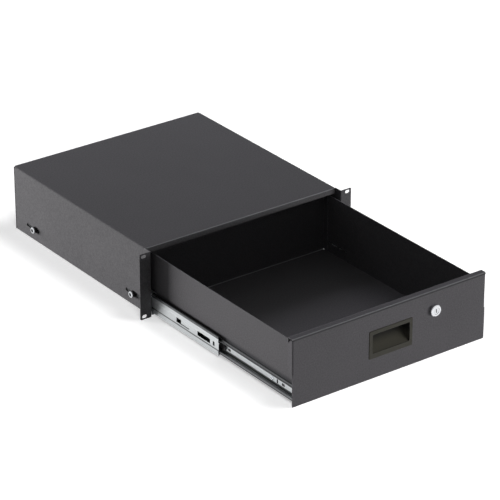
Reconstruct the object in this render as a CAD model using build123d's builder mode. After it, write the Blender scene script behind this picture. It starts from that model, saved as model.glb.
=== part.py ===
from build123d import *
import math
import os

# Sizes are in millimetres. X runs across the rack, Y runs back into it and Z is up. The origin is
# the middle of the four rack screws, on the back faces of the ears. The drawer is drawn pulled out.

# Rack
unit_height = 44.45
rack_units = 3
rack_height_gap = 1.35
rack_screw_inset = 6.35
rack_screw_side_inset = 8.75
rack_slot_length = 10.3
rack_slot_height = 6.8
ear_span = 482.6
ear_reach = 23.3
ear_corner = 2

# Case
case_sheet = 1.5
fold_inside = 1
top_lip_height = 10
top_lip_side_gap = 3.5
lower_flange = 10
rear_flange = 12
rear_flange_end_gap = 6
rear_panel_gap = 0.3
case_screw_size = 4
case_screw_head = 8
case_screw_head_height = 2.6
case_screw_bevel = 0.9
case_screw_inset = 8
case_screw_end_inset = 16
case_screw_length = 8
drive_width = 1.2
drive_length = 4.4
drive_depth = 1.2

# Slides
slide_length = 450
travel_left = 30.7
slide_height = 45.7
slide_thickness = 12.7
slide_rise = 24.5
slide_setback = 2
slide_back_gap = 5
rail_sheet = 1.2
ball_size = 4.76
race_gap = 0.12
ball_line = 7.8
outer_fold = 1.6
outer_wrap = 105
middle_web = 2.4
middle_band_half = 6.6
middle_joggle = 1.1
middle_crest = 0.84
middle_crest_turn = 155
middle_under_wrap = 65
middle_over_wrap = 100
joggle_fold = 1.1
inner_fold = 1
inner_leg_fold = 0.9
inner_leg_height = 11.4
inner_lean = 45
inner_wrap = 110
middle_setback = 3
middle_shorter = 10
middle_tongue = 3

# Ball cages
cage_length = 150
cage_setback = 130.5
inner_cage_lag = 5
cage_sheet = 0.9
cage_edge_gap = 0.8
cage_ball_gap = 0.17
cage_shelf_out = 1
cage_leg_height = 3
cage_pocket_sides = 8
balls_in_row = 4
ball_end_inset = 18
ball_flat_share = 0.863
ball_bevel_share = 0.293
outer_cage_rise = 0.7
inner_cage_reach = 3.4

# Rail bolts
bolt_size = 4.8
bolt_head = 12.4
bolt_head_height = 2.6
bolt_head_bevel = 0.8
bolt_socket = 5
bolt_socket_depth = 1.8
spacer_length = 5
spacer_bore_gap = 0.3
front_bolt_inset = 54.5
rear_bolt_inset = 63
bolt_slot_length = 45
bolt_slot_height = 6.4
front_slot_shift = 3
rear_slot_shift = 7.5
collar_wall = 0.65
collar_short = 0.2
thread_gap = 0.05

# Openings in the middle rail, from its front end
window_place = 45.2
window_length = 38.1
window_height = 9.2
window_corner = 0.8
square_place = 122.3
square_length = 14.3
square_height = 9
tail_length = 25
tail_height = 1.8
nick_place = 15
nick_length = 5
nick_height = 8.4
nick_corner = 1.2
middle_hole_rise = 1.5

# Openings in the inner rail, from its front end
front_oval_place = 36.2
rear_oval_place = 193.9
oval_length = 8.5
oval_height = 5
oval_corner = 2.2
inner_slot_place = 53.1
inner_slot_length = 3.6
inner_slot_height = 7.8
inner_slot_corner = 1.2
inner_screw_front = 68.9
inner_screw_back = 20
inner_screw_size = 3.5
inner_screw_head = 8.4
inner_screw_head_height = 1.8
inner_screw_bevel = 0.8

# Release levers
lever_place = 249.3
lever_front = 47
lever_back = 28
lever_thickness = 2.6
lever_tab_length = 18
lever_tab_height = 11.3
lever_tab_corner = 5
lever_arm_height = 6
lever_boss = 10
lever_hook_length = 6
lever_hook_height = 4
lever_gap = 0.4
rivet_size = 4
rivet_head = 6.4
rivet_head_height = 0.9
rivet_bevel = 0.4
rivet_gap = 0.15

# Closing buffers
buffer_length = 6
buffer_thickness = 3
buffer_height = 15
buffer_corner = 1.2
buffer_gap = 0.3

# Drawer
tray_sheet = 1.2
tray_floor_rise = 1.5
tray_top_drop = 12
tray_back_gap = 5.5
tray_lap = 10.6
tray_relief = 1.6
tray_slot_height = 2.4
tray_slot_rise = 22
tray_slot_end = 24
tray_slot_gap = 6
tray_slot_long = 17
tray_slot_middle = 10
tray_slot_short = 6

# Front panel
panel_sheet = 1.5
panel_side_gap = 3.4
panel_edge_gap = 0.3
panel_return = 14.2
panel_lip_gap = 0.4
panel_to_case = 0.8
side_return_slope = 10.5
side_return_rise = 14.6
stud_size = 4
stud_length = 8
stud_gap = 0.25
stud_inset_x = 24
stud_inset_z = 22
nut_across = 7
nut_height = 3.2

# Handle
handle_width = 97
handle_height = 55
handle_rise = 1
handle_corner = 3
handle_proud = 1.3
handle_bevel = 0.8
grip_width = 83
grip_height = 37
grip_corner = 3
grip_rise = 1.5
grip_depth = 24
grip_lip = 2.2
grip_over_lip = 2.5
grip_back_height = 12
grip_floor_sag = 1.6
grip_back_round = 3.5
handle_wall = 1.8
handle_cut_gap = 0.2
clip_length = 8
clip_reach = 1.6
clip_depth = 4
clip_gap = 0.1
tray_handle_gap = 2.5

# Lock
lock_place = 97
lock_drop = 38.5
lock_face = 22
lock_proud = 7
lock_bevel = 1.2
lock_body = 18.9
lock_flats = 16.4
lock_hole_gap = 0.15
lock_back = 16.8
plug_size = 13
plug_gap = 0.1
plug_inset = 0.6
plug_shoulder = 0.5
key_width = 1.8
key_height = 7
key_depth = 10
lock_washer_size = 24
lock_washer_height = 1
lock_nut_across = 24
lock_nut_height = 3
cam_sheet = 2
cam_reach = 34
cam_width = 14
cam_square = 7
cam_square_gap = 0.05
cam_corner = 3.5
cam_screw_size = 4
cam_screw_head = 8
cam_screw_head_height = 2.2
cam_screw_bevel = 0.7
cam_screw_length = 8
square_short = 0.2

# Places worked out from the sizes
case_height = rack_units * unit_height - rack_height_gap
case_width = ear_span - 2 * ear_reach
case_top = case_height / 2
case_bottom = -case_top
case_half = case_width / 2
case_inner = case_half - case_sheet
case_fold = fold_inside + case_sheet / 2
case_fold_outside = fold_inside + case_sheet
ear_front = -case_sheet
rack_screws_up = rack_units * unit_height - 2 * rack_screw_inset
rack_screws_across = ear_span - 2 * rack_screw_side_inset
pull_out = slide_length - travel_left
top_front = ear_front + panel_return + panel_to_case
rear_flange_inner = ear_front + slide_setback + slide_length + slide_back_gap
rear_flange_outer = rear_flange_inner + case_sheet
case_back = rear_flange_outer + case_sheet

slide_z = case_bottom + slide_rise
race = ball_size / 2 + race_gap + rail_sheet / 2
outer_ball_v = slide_height / 2 - rail_sheet / 2 - race
inner_ball_v = outer_ball_v - 2 * race
outer_rail_front = ear_front + slide_setback
outer_rail_back = outer_rail_front + slide_length
front_bolt = outer_rail_front + front_bolt_inset
rear_bolt = outer_rail_back - rear_bolt_inset
middle_length = slide_length - middle_shorter
middle_front = outer_rail_front + middle_setback - pull_out / 2
panel_front = ear_front - pull_out
inner_rail_front = panel_front + slide_setback
inner_rail_back = inner_rail_front + slide_length
inner_screw_places = [inner_rail_front + inner_screw_front, inner_rail_back - inner_screw_back]
outer_cage_front = outer_rail_front + cage_setback - pull_out / 4
inner_cage_front = outer_rail_front + cage_setback + inner_cage_lag - pull_out * 3 / 4

tray_half = case_inner - slide_thickness
tray_inner = tray_half - tray_sheet
tray_bottom = case_bottom + tray_floor_rise
tray_top = case_top - tray_top_drop
tray_fold = fold_inside + tray_sheet / 2
tray_fold_outside = fold_inside + tray_sheet
tray_front = panel_front + panel_sheet
tray_back = rear_flange_inner - tray_back_gap - pull_out

panel_half = case_half - panel_side_gap
panel_top = case_top - panel_edge_gap
panel_bottom = case_bottom + panel_edge_gap
panel_fold = fold_inside + panel_sheet / 2
panel_fold_outside = fold_inside + panel_sheet
panel_return_back = panel_front + panel_return
side_return_foot = slide_z + slide_height / 2 + side_return_rise
grip_z = handle_rise + grip_rise
grip_bottom = grip_z - grip_height / 2
grip_top = grip_z + grip_height / 2
grip_half = grip_width / 2
lock_z = case_top - lock_drop


# General shapes

hexagon_sides = 6


def folded(plane, path, sheet, reach, radius):
    """A sheet folded along a path, drawn out equally to both sides of its plane."""
    with BuildSketch(plane) as section:
        with BuildLine():
            FilletPolyline(*path, radius=radius)
        trace(line_width=sheet)
    extrude(section.sketch, amount=reach, both=True)


def other_hand(piece):
    """The right-hand piece, which mirrors the left-hand one."""
    with BuildPart() as mirrored:
        mirror(piece.part, about=Plane.YZ)
    return mirrored


def both_hands(piece):
    """A left-hand piece and its mirror image, kept as separate solids."""
    with BuildPart() as pair:
        add(piece.part)
        mirror(piece.part, about=Plane.YZ)
    return pair


def cross_drive():
    """The outline of a cross recess in a screw's head."""
    Rectangle(drive_length, drive_width)
    Rectangle(drive_width, drive_length)


def save(piece, name):
    """Labels a finished piece and writes its STEP file."""
    piece.part.label = name
    export_step(piece.part, f"parts/{name}.step")


# Case


def case_screw_places():
    """Where the rear panel's screws stand, near the corners."""
    return GridLocations(case_width - 2 * case_screw_inset, case_height - 2 * case_screw_end_inset, 2, 2)


def build_case_shell():
    """Top, sides, ears, front lip and flanges, folded from one sheet."""
    side = case_half - case_sheet / 2
    top = case_top - case_sheet / 2
    bottom = case_bottom + case_sheet / 2
    long_front = top_front + case_fold_outside
    long_back = rear_flange_outer - case_fold_outside
    long_middle = (long_front + long_back) / 2
    flange_end = case_half - lower_flange
    ear_y = -case_sheet / 2
    lip_y = top_front + case_sheet / 2
    rear_y = rear_flange_outer - case_sheet / 2
    section = [(-flange_end, bottom), (-side, bottom), (-side, top)]
    section += [(side, top), (side, bottom), (flange_end, bottom)]
    with BuildPart() as shell:
        folded(Plane.XZ.offset(-long_middle), section, case_sheet, (long_back - long_front) / 2, case_fold)
        # front lip, folded down from the top
        lip = [(long_front + fold_inside, top), (lip_y, top), (lip_y, case_top - top_lip_height)]
        folded(Plane.YZ, lip, case_sheet, case_half - top_lip_side_gap, case_fold)
        # the top runs on over the rear panel
        with Locations((0, (long_back + case_back) / 2, top)):
            Box(case_width - 2 * case_fold_outside, case_back - long_back, case_sheet)
        for hand in (-1, 1):
            # ears, folded outwards from the sides
            corner = hand * side
            ear = [(corner, long_front), (corner, ear_y), (hand * ear_span / 2, ear_y)]
            folded(Plane.XY, ear, case_sheet, case_top, case_fold)
            # rear flanges, folded inwards from the sides
            rear_end = hand * (case_half - rear_flange)
            rear = [(corner, long_back - case_fold_outside), (corner, rear_y), (rear_end, rear_y)]
            folded(Plane.XY, rear, case_sheet, case_top - rear_flange_end_gap, case_fold)
        upright = shell.edges().filter_by(Axis.Y)
        fillet(upright.group_by(Axis.X)[0] + upright.group_by(Axis.X)[-1], radius=ear_corner)
        with BuildSketch(Plane.XZ):
            with GridLocations(rack_screws_across, rack_screws_up, 2, 2):
                SlotOverall(rack_slot_length, rack_slot_height)
        extrude(amount=2 * case_sheet, both=True, mode=Mode.SUBTRACT)
        # adjusting slots for the rail bolts
        with BuildSketch(Plane.YZ):
            with Locations((front_bolt + front_slot_shift, slide_z), (rear_bolt + rear_slot_shift, slide_z)):
                SlotOverall(bolt_slot_length, bolt_slot_height)
        extrude(amount=case_width, both=True, mode=Mode.SUBTRACT)
        # tapped holes for the rear panel
        with BuildSketch(Plane.XZ.offset(-rear_y)):
            with case_screw_places():
                Circle(case_screw_size / 2 + thread_gap)
        extrude(amount=case_sheet, both=True, mode=Mode.SUBTRACT)
    return shell


def build_rear_panel():
    """Flat plate that closes the back of the case, under the overhang of the top."""
    top = case_top - case_sheet - rear_panel_gap
    with BuildPart() as panel:
        with BuildSketch(Plane.XZ.offset(-case_back)):
            with Locations((0, (top + case_bottom) / 2)):
                Rectangle(case_width - 2 * rear_panel_gap, top - case_bottom)
            with case_screw_places():
                Circle(case_screw_size / 2 + stud_gap, mode=Mode.SUBTRACT)
        extrude(amount=case_sheet)
    return panel


def build_rear_panel_screws():
    """Cross-head screws of the rear panel."""
    with BuildPart() as screws:
        with BuildSketch(Plane.XZ.offset(-case_back)):
            with case_screw_places():
                Circle(case_screw_head / 2)
        extrude(amount=-case_screw_head_height)
        chamfer(screws.faces().group_by(Axis.Y)[-1].edges(), length=case_screw_bevel)
        with BuildSketch(Plane.XZ.offset(-case_back)):
            with case_screw_places():
                Circle(case_screw_size / 2)
        extrude(amount=case_screw_length)
        with BuildSketch(Plane.XZ.offset(-case_back - case_screw_head_height)):
            with case_screw_places():
                cross_drive()
        extrude(amount=drive_depth, mode=Mode.SUBTRACT)
    return screws


# Slides
# In a slide's section, the first number is the distance from the case's wall towards the drawer, and
# the second is the height above the slide's middle. Each section is drawn once, for the upper half.
# Arcs in it start straight up, towards the wall or straight down from the middle of their ball.

up = 90
wallwards = 180
down = 270


def slide_plane(y):
    """Section plane of the left slide, facing the front."""
    return Plane(origin=(-case_inner, y, slide_z), x_dir=(1, 0, 0), z_dir=(0, -1, 0))


def web_plane():
    """Plane for the openings in the left slide's webs: Y, and height above the slide's middle."""
    return Plane(origin=(-case_inner, 0, slide_z), x_dir=(0, 1, 0), z_dir=(1, 0, 0))


def punched(place, length, height, corner, rise=0):
    """A slot with rounded corners, punched through a web."""
    with BuildSketch(web_plane()) as slot:
        with Locations((place, rise)):
            RectangleRounded(length, height, corner)
    extrude(slot.sketch, amount=slide_thickness, mode=Mode.SUBTRACT)


def build_outer_rail():
    """Outer rail of the left slide, with the tapped collars for its bolts."""
    web = rail_sheet / 2
    crown = slide_height / 2 - rail_sheet / 2
    with BuildPart() as rail:
        with BuildSketch(slide_plane(outer_rail_back)):
            with BuildLine():
                FilletPolyline((web, 0), (web, crown), (ball_line, crown), radius=outer_fold)
                CenterArc((ball_line, outer_ball_v), race, up, -outer_wrap)
                mirror(about=Plane.XZ)
            trace(line_width=rail_sheet)
        extrude(amount=slide_length)
        with BuildSketch(web_plane()):
            with Locations((front_bolt, 0), (rear_bolt, 0)):
                Circle(bolt_size / 2 + thread_gap + collar_wall)
        extrude(amount=-(case_sheet - collar_short))
        with BuildSketch(web_plane()):
            with Locations((front_bolt, 0), (rear_bolt, 0)):
                Circle(bolt_size / 2 + thread_gap)
        extrude(amount=2 * case_sheet, both=True, mode=Mode.SUBTRACT)
    return rail


def build_middle_rail():
    """Middle rail of the left slide: both ball races, and the openings in its web."""
    crest_angle = math.radians(middle_under_wrap)
    crest_u = ball_line - (race + middle_crest) * math.sin(crest_angle)
    crest_v = outer_ball_v - (race + middle_crest) * math.cos(crest_angle)
    band = crest_u - middle_crest
    upper = middle_band_half + middle_joggle
    with BuildPart() as rail:
        with BuildSketch(slide_plane(middle_front + middle_length)):
            with BuildLine():
                joggle = [(middle_web, 0), (middle_web, middle_band_half), (band, upper), (band, crest_v)]
                FilletPolyline(*joggle, radius=joggle_fold)
                CenterArc((crest_u, crest_v), middle_crest, wallwards, -middle_crest_turn)
                CenterArc((ball_line, outer_ball_v), race, down - middle_under_wrap, middle_under_wrap)
                CenterArc((ball_line, inner_ball_v), race, up, -middle_over_wrap)
                mirror(about=Plane.XZ)
            trace(line_width=rail_sheet)
        extrude(amount=middle_length)
        # the races stop short of the web's tongue at the front
        with BuildSketch(web_plane()):
            with Locations((middle_front, slide_height / 2), (middle_front, -slide_height / 2)):
                Rectangle(2 * middle_tongue, slide_height - 2 * upper)
        extrude(amount=slide_thickness, mode=Mode.SUBTRACT)
        punched(middle_front + window_place, window_length, window_height, window_corner, middle_hole_rise)
        punched(middle_front + nick_place, nick_length, nick_height, nick_corner, middle_hole_rise)
        square_y = middle_front + square_place
        tail_y = square_y - square_length / 2 - tail_length / 2
        with BuildSketch(web_plane()):
            with Locations((square_y, middle_hole_rise)):
                Rectangle(square_length, square_height)
            with Locations((tail_y, middle_hole_rise - (square_height - tail_height) / 2)):
                Rectangle(tail_length, tail_height)
        extrude(amount=slide_thickness, mode=Mode.SUBTRACT)
    return rail


def build_inner_rail():
    """Inner rail of the left slide, which is screwed to the drawer's side."""
    web = slide_thickness - rail_sheet / 2
    lean = race * math.sin(math.radians(inner_lean))
    race_start = (ball_line + lean, inner_ball_v - lean)
    knee = (race_start[0] + inner_leg_height - race_start[1], inner_leg_height)
    with BuildPart() as rail:
        with BuildSketch(slide_plane(inner_rail_front + slide_length)):
            with BuildLine():
                leg = [(web, 0), (web, inner_leg_height), knee, race_start]
                FilletPolyline(*leg, radius=[inner_fold, inner_leg_fold])
                CenterArc((ball_line, inner_ball_v), race, -inner_lean, -inner_wrap)
                mirror(about=Plane.XZ)
            trace(line_width=rail_sheet)
        extrude(amount=slide_length)
        punched(inner_rail_front + front_oval_place, oval_length, oval_height, oval_corner)
        punched(inner_rail_front + rear_oval_place, oval_length, oval_height, oval_corner)
        punched(inner_rail_front + inner_slot_place, inner_slot_length, inner_slot_height, inner_slot_corner)
        with BuildSketch(web_plane()):
            with Locations(*[(place, 0) for place in inner_screw_places]):
                Circle(inner_screw_size / 2 + thread_gap)
            with Locations((inner_rail_front + lever_place, 0)):
                Circle(rivet_size / 2 + thread_gap)
        extrude(amount=slide_thickness, mode=Mode.SUBTRACT)
    return rail


def build_outer_cage():
    """The two strips that hold the balls between the outer and middle rails, left slide."""
    strip_bottom = outer_ball_v + outer_cage_rise - cage_sheet / 2
    strip_inner = ball_line + cage_shelf_out
    strip_outer = rail_sheet + cage_edge_gap
    with BuildPart() as cage:
        with BuildSketch(slide_plane(outer_cage_front + cage_length)):
            with Locations(((strip_inner + strip_outer) / 2, strip_bottom + cage_sheet / 2)):
                Rectangle(strip_inner - strip_outer, cage_sheet)
            mirror(about=Plane.XZ)
        extrude(amount=cage_length)
        ball_pockets(outer_cage_front)
    return cage


def build_inner_cage():
    """The two angled strips that hold the balls between the middle and inner rails, left slide."""
    shelf_bottom = inner_ball_v - cage_edge_gap / 2
    shelf_inner = ball_line + cage_shelf_out
    leg_outer = ball_line - inner_cage_reach
    with BuildPart() as cage:
        with BuildSketch(slide_plane(inner_cage_front + cage_length)):
            with Locations((leg_outer, shelf_bottom)):
                Rectangle(shelf_inner - leg_outer, cage_sheet, align=(Align.MIN, Align.MIN))
                Rectangle(cage_sheet, cage_leg_height, align=(Align.MIN, Align.MIN))
            mirror(about=Plane.XZ)
        extrude(amount=cage_length)
        ball_pockets(inner_cage_front)
    return cage


def ball_places(front):
    """Where the balls of one row stand along a cage."""
    pitch = (cage_length - 2 * ball_end_inset) / (balls_in_row - 1)
    return [front + ball_end_inset + pitch * number for number in range(balls_in_row)]


def ball_pockets(front):
    """Eight-sided pockets in the strips of a cage."""
    with BuildSketch(Plane.XY.offset(slide_z)) as pockets:
        with Locations(*[(ball_line - case_inner, place) for place in ball_places(front)]):
            RegularPolygon(ball_size / 2 + cage_ball_gap, cage_pocket_sides, major_radius=False)
    extrude(pockets.sketch, amount=slide_height / 2, both=True, mode=Mode.SUBTRACT)


def build_balls(front, height):
    """The balls of a pair of slides, above and below their middles, each drawn with 26 flats."""
    flat = ball_size * ball_flat_share
    with BuildPart() as balls:
        for place in ball_places(front):
            with Locations((0, place, slide_z)):
                with GridLocations(2 * (case_inner - ball_line), 0, 2, 1):
                    with Locations((0, 0, -height), (0, 0, height)):
                        Box(flat, flat, flat)
        chamfer(balls.edges(), length=flat * ball_bevel_share)
    return balls


# Rail bolts


def build_rail_bolts():
    """Round-head bolts that hold the left outer rail, with a hexagon socket in the head."""
    head_plane = Plane.YZ.offset(-case_half - spacer_length - bolt_head_height)
    places = [(front_bolt, slide_z), (rear_bolt, slide_z)]
    shank_length = spacer_length + case_sheet + rail_sheet
    with BuildPart() as bolts:
        with BuildSketch(head_plane):
            with Locations(*places):
                Circle(bolt_head / 2)
        extrude(amount=bolt_head_height)
        chamfer(bolts.faces().group_by(Axis.X)[0].edges(), length=bolt_head_bevel)
        with BuildSketch(head_plane.offset(bolt_head_height)):
            with Locations(*places):
                Circle(bolt_size / 2)
        extrude(amount=shank_length)
        with BuildSketch(head_plane):
            with Locations(*places):
                RegularPolygon(bolt_socket / 2, hexagon_sides, major_radius=False)
        extrude(amount=bolt_socket_depth, mode=Mode.SUBTRACT)
    return bolts


def build_bolt_spacers():
    """Round spacers between the case's left side and the heads of the rail bolts."""
    with BuildPart() as spacers:
        with BuildSketch(Plane.YZ.offset(-case_half)):
            with Locations((front_bolt, slide_z), (rear_bolt, slide_z)):
                Circle(bolt_head / 2)
                Circle(bolt_size / 2 + spacer_bore_gap, mode=Mode.SUBTRACT)
        extrude(amount=-spacer_length)
    return spacers


def build_closing_buffer():
    """Soft block at the back of the left outer rail, which stops the middle rail."""
    place = outer_rail_front + middle_setback + middle_length + buffer_gap
    with BuildPart() as buffer:
        with BuildSketch(web_plane().offset(rail_sheet)):
            with Locations((place + buffer_length / 2, 0)):
                RectangleRounded(buffer_length, buffer_height, buffer_corner)
        extrude(amount=buffer_thickness)
    return buffer


# Inner rail fittings


def build_inner_rail_screws():
    """Low-head screws that hold the left inner rail to the drawer's side."""
    face = slide_thickness - rail_sheet
    places = [(place, 0) for place in inner_screw_places]
    with BuildPart() as screws:
        with BuildSketch(web_plane().offset(face)):
            with Locations(*places):
                Circle(inner_screw_head / 2)
        extrude(amount=-inner_screw_head_height)
        chamfer(screws.faces().group_by(Axis.X)[0].edges(), length=inner_screw_bevel)
        with BuildSketch(web_plane().offset(face)):
            with Locations(*places):
                Circle(inner_screw_size / 2)
        extrude(amount=rail_sheet + tray_sheet)
        with BuildSketch(web_plane().offset(face - inner_screw_head_height)):
            with Locations(*places):
                cross_drive()
        extrude(amount=drive_depth, mode=Mode.SUBTRACT)
    return screws


def build_release_lever():
    """Moulded lever on the left inner rail: thumb tab, arm, pivot boss and hook."""
    pivot = inner_rail_front + lever_place
    inner_face = slide_thickness - rail_sheet - lever_gap
    tab_y = pivot - lever_front + lever_tab_length / 2
    arm_length = lever_front + lever_back - lever_tab_length / 2
    hook_top = lever_arm_height / 2 + lever_hook_height
    with BuildPart() as lever:
        with BuildSketch(web_plane().offset(inner_face)):
            with Locations((tab_y, 0)):
                RectangleRounded(lever_tab_length, lever_tab_height, lever_tab_corner)
            with Locations((pivot + lever_back, 0)):
                Rectangle(arm_length, lever_arm_height, align=(Align.MAX, Align.CENTER))
                Rectangle(lever_hook_length, hook_top, align=(Align.MAX, Align.MIN))
            with Locations((pivot, 0)):
                Circle(lever_boss / 2)
                Circle(rivet_size / 2 + rivet_gap, mode=Mode.SUBTRACT)
        extrude(amount=-lever_thickness)
    return lever


def build_lever_rivet():
    """Shouldered rivet on which the left release lever turns."""
    pivot = inner_rail_front + lever_place
    face = slide_thickness - rail_sheet
    head_face = face - 2 * lever_gap - lever_thickness
    with BuildPart() as rivet:
        with BuildSketch(web_plane().offset(slide_thickness)):
            with Locations((pivot, 0)):
                Circle(rivet_size / 2)
        extrude(amount=-(slide_thickness - head_face))
        with BuildSketch(web_plane().offset(head_face)):
            with Locations((pivot, 0)):
                Circle(rivet_head / 2)
        extrude(amount=-rivet_head_height)
        chamfer(rivet.faces().group_by(Axis.X)[0].edges(), length=rivet_bevel)
    return rivet


# Drawer


def tray_end_wall(face, inward):
    """An end wall of the tray, folded up from the floor, with flanges lapped inside the sides."""
    wall = face + inward * tray_sheet / 2
    floor = tray_bottom + tray_sheet / 2
    flange = tray_inner - tray_sheet / 2
    lap_end = face + inward * (tray_sheet + tray_lap)
    fold_end = face + inward * 2 * tray_fold_outside
    wall_bottom = tray_bottom + tray_fold_outside
    turned_up = [(fold_end, floor), (wall, floor), (wall, tray_top)]
    folded(Plane.YZ, turned_up, tray_sheet, flange - tray_fold, tray_fold)
    lap = [(-flange, lap_end), (-flange, wall), (flange, wall), (flange, lap_end)]
    level = (tray_top + wall_bottom) / 2
    folded(Plane.XY.offset(level), lap, tray_sheet, (tray_top - wall_bottom) / 2, tray_fold)


def build_drawer_tray():
    """Open tray: floor and sides from one fold, end walls turned up and lapped inside the sides."""
    side = tray_half - tray_sheet / 2
    floor = tray_bottom + tray_sheet / 2
    floor_front = tray_front + tray_fold_outside
    floor_back = tray_back - tray_fold_outside
    middle = (floor_front + floor_back) / 2
    section = [(-side, tray_top), (-side, floor), (side, floor), (side, tray_top)]
    wall_bottom = tray_bottom + tray_fold_outside
    with BuildPart() as tray:
        folded(Plane.XZ.offset(-middle), section, tray_sheet, (floor_back - floor_front) / 2, tray_fold)
        with Locations((0, (tray_front + tray_back) / 2, (tray_top + wall_bottom) / 2)):
            with GridLocations(2 * side, tray_back - tray_front - tray_fold_outside, 2, 2):
                Box(tray_sheet, tray_fold_outside, tray_top - wall_bottom)
        tray_end_wall(tray_front, 1)
        tray_end_wall(tray_back, -1)
        # relief holes in the floor's corners
        relief_inset = tray_sheet + tray_relief
        with BuildSketch(Plane.XY.offset(tray_bottom)):
            with Locations((0, (tray_front + tray_back) / 2)):
                relief_across = 2 * (tray_half - relief_inset)
                relief_along = tray_back - tray_front - 2 * relief_inset
                with GridLocations(relief_across, relief_along, 2, 2):
                    Circle(tray_relief)
        extrude(amount=2 * tray_fold_outside, mode=Mode.SUBTRACT)
        # handle, lock and stud openings in the front wall
        with BuildSketch(Plane.XZ.offset(-tray_front)):
            with Locations((0, handle_rise)):
                Rectangle(handle_width + tray_handle_gap, handle_height + tray_handle_gap)
            with Locations((lock_place, lock_z)):
                Circle(lock_body / 2 + lock_hole_gap)
            with Locations(*stud_places()):
                Circle(stud_size / 2 + stud_gap)
        extrude(amount=-2 * tray_sheet, mode=Mode.SUBTRACT)
        # screw holes and wiring slots in the sides
        with BuildSketch(Plane.YZ):
            with Locations(*[(place, slide_z) for place in inner_screw_places]):
                Circle(inner_screw_size / 2 + thread_gap)
            slot_end = tray_back - tray_slot_end
            for length in (tray_slot_long, tray_slot_middle, tray_slot_short):
                with Locations((slot_end - length / 2, case_bottom + tray_slot_rise)):
                    Rectangle(length, tray_slot_height)
                slot_end -= length + tray_slot_gap
        extrude(amount=case_width, both=True, mode=Mode.SUBTRACT)
    return tray


# Front panel


def stud_places():
    """Where the welded studs stand on the panel's back, near the tray's corners."""
    across = tray_inner - stud_inset_x
    return [(x, z) for x in (-across, across) for z in (tray_bottom + stud_inset_z, tray_top - stud_inset_z)]


def build_front_panel():
    """Folded front: skin, top return with its rear lip, and two side returns."""
    skin = panel_front + panel_sheet / 2
    top = panel_top - panel_sheet / 2
    lip = panel_return_back - panel_sheet / 2
    lip_bottom = tray_top + panel_lip_gap
    side = panel_half - panel_sheet / 2
    bend_back = panel_front + 2 * panel_fold_outside
    bend_top = panel_top - panel_fold_outside
    return_back_top = panel_top - side_return_slope
    level = (bend_top + side_return_foot) / 2
    reach = (bend_top - side_return_foot) / 2
    with BuildPart() as panel:
        section = [(skin, panel_bottom), (skin, top), (lip, top), (lip, lip_bottom)]
        folded(Plane.YZ, section, panel_sheet, panel_half, panel_fold)
        with Locations((0, panel_front + panel_fold_outside / 2, level)):
            with GridLocations(2 * panel_half - panel_fold_outside, 0, 2, 1):
                Box(panel_fold_outside, panel_fold_outside, 2 * reach, mode=Mode.SUBTRACT)
        for hand in (-1, 1):
            corner = hand * side
            bend_start = hand * (panel_half - 2 * panel_fold_outside)
            bend = [(bend_start, skin), (corner, skin), (corner, bend_back)]
            folded(Plane.XY.offset(level), bend, panel_sheet, reach, panel_fold)
            with BuildSketch(Plane.YZ.offset(corner)) as flat_return:
                with BuildLine():
                    Polyline(
                        (bend_back, side_return_foot),
                        (bend_back, bend_top),
                        (panel_return_back, return_back_top),
                        (panel_return_back, side_return_foot + side_return_slope),
                        close=True,
                    )
                make_face()
            extrude(flat_return.sketch, amount=panel_sheet / 2, both=True)
        with BuildSketch(Plane.XZ.offset(-panel_front)):
            with Locations((0, (grip_body_top() + grip_body_bottom()) / 2)):
                cut_height = grip_body_top() - grip_body_bottom() + 2 * handle_cut_gap
                Rectangle(grip_width + 2 * (handle_wall + handle_cut_gap), cut_height)
            with Locations((lock_place, lock_z)):
                Circle(lock_body / 2 + lock_hole_gap)
        extrude(amount=-2 * panel_sheet, mode=Mode.SUBTRACT)
    return panel


def build_panel_studs():
    """Threaded studs welded to the panel's back."""
    with BuildPart() as studs:
        with BuildSketch(Plane.XZ.offset(-tray_front)):
            with Locations(*stud_places()):
                Circle(stud_size / 2)
        extrude(amount=-stud_length)
    return studs


def build_panel_nuts():
    """Nuts that clamp the tray's front wall to the panel."""
    with BuildPart() as nuts:
        with BuildSketch(Plane.XZ.offset(-tray_front - tray_sheet)):
            with Locations(*stud_places()):
                RegularPolygon(nut_across / 2, hexagon_sides, major_radius=False)
                Circle(stud_size / 2 + thread_gap, mode=Mode.SUBTRACT)
        extrude(amount=-nut_height)
    return nuts


# Handle


def grip_body_top():
    """Top of the moulding behind the panel."""
    return grip_top + grip_over_lip + handle_wall


def grip_body_bottom():
    """Bottom of the moulding behind the panel."""
    return grip_bottom - handle_wall


def scoop(wall, lip, reach, mode):
    """The handle's scoop, seen from the side: curved floor, back, rounded ceiling and gripping lip."""
    front = panel_front
    back = panel_front + grip_depth + wall
    ceiling = grip_top + grip_over_lip + wall
    floor_back = ceiling - grip_back_height
    bottom = grip_bottom - wall
    middle = ((front + back) / 2 + grip_floor_sag, (bottom + floor_back) / 2 - grip_floor_sag)
    mouth = [(back - grip_back_round, ceiling), (front + lip, ceiling)]
    mouth += [(front + lip, grip_top), (front, grip_top)] if lip else []
    with BuildSketch(Plane.YZ) as profile:
        with BuildLine():
            ThreePointArc((front, bottom), middle, (back, floor_back))
            Line((back, floor_back), (back, ceiling - grip_back_round))
            RadiusArc((back, ceiling - grip_back_round), (back - grip_back_round, ceiling), -grip_back_round)
            Polyline(*mouth, (front, bottom))
        make_face()
    extrude(profile.sketch, amount=reach, both=True, mode=mode)


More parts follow.
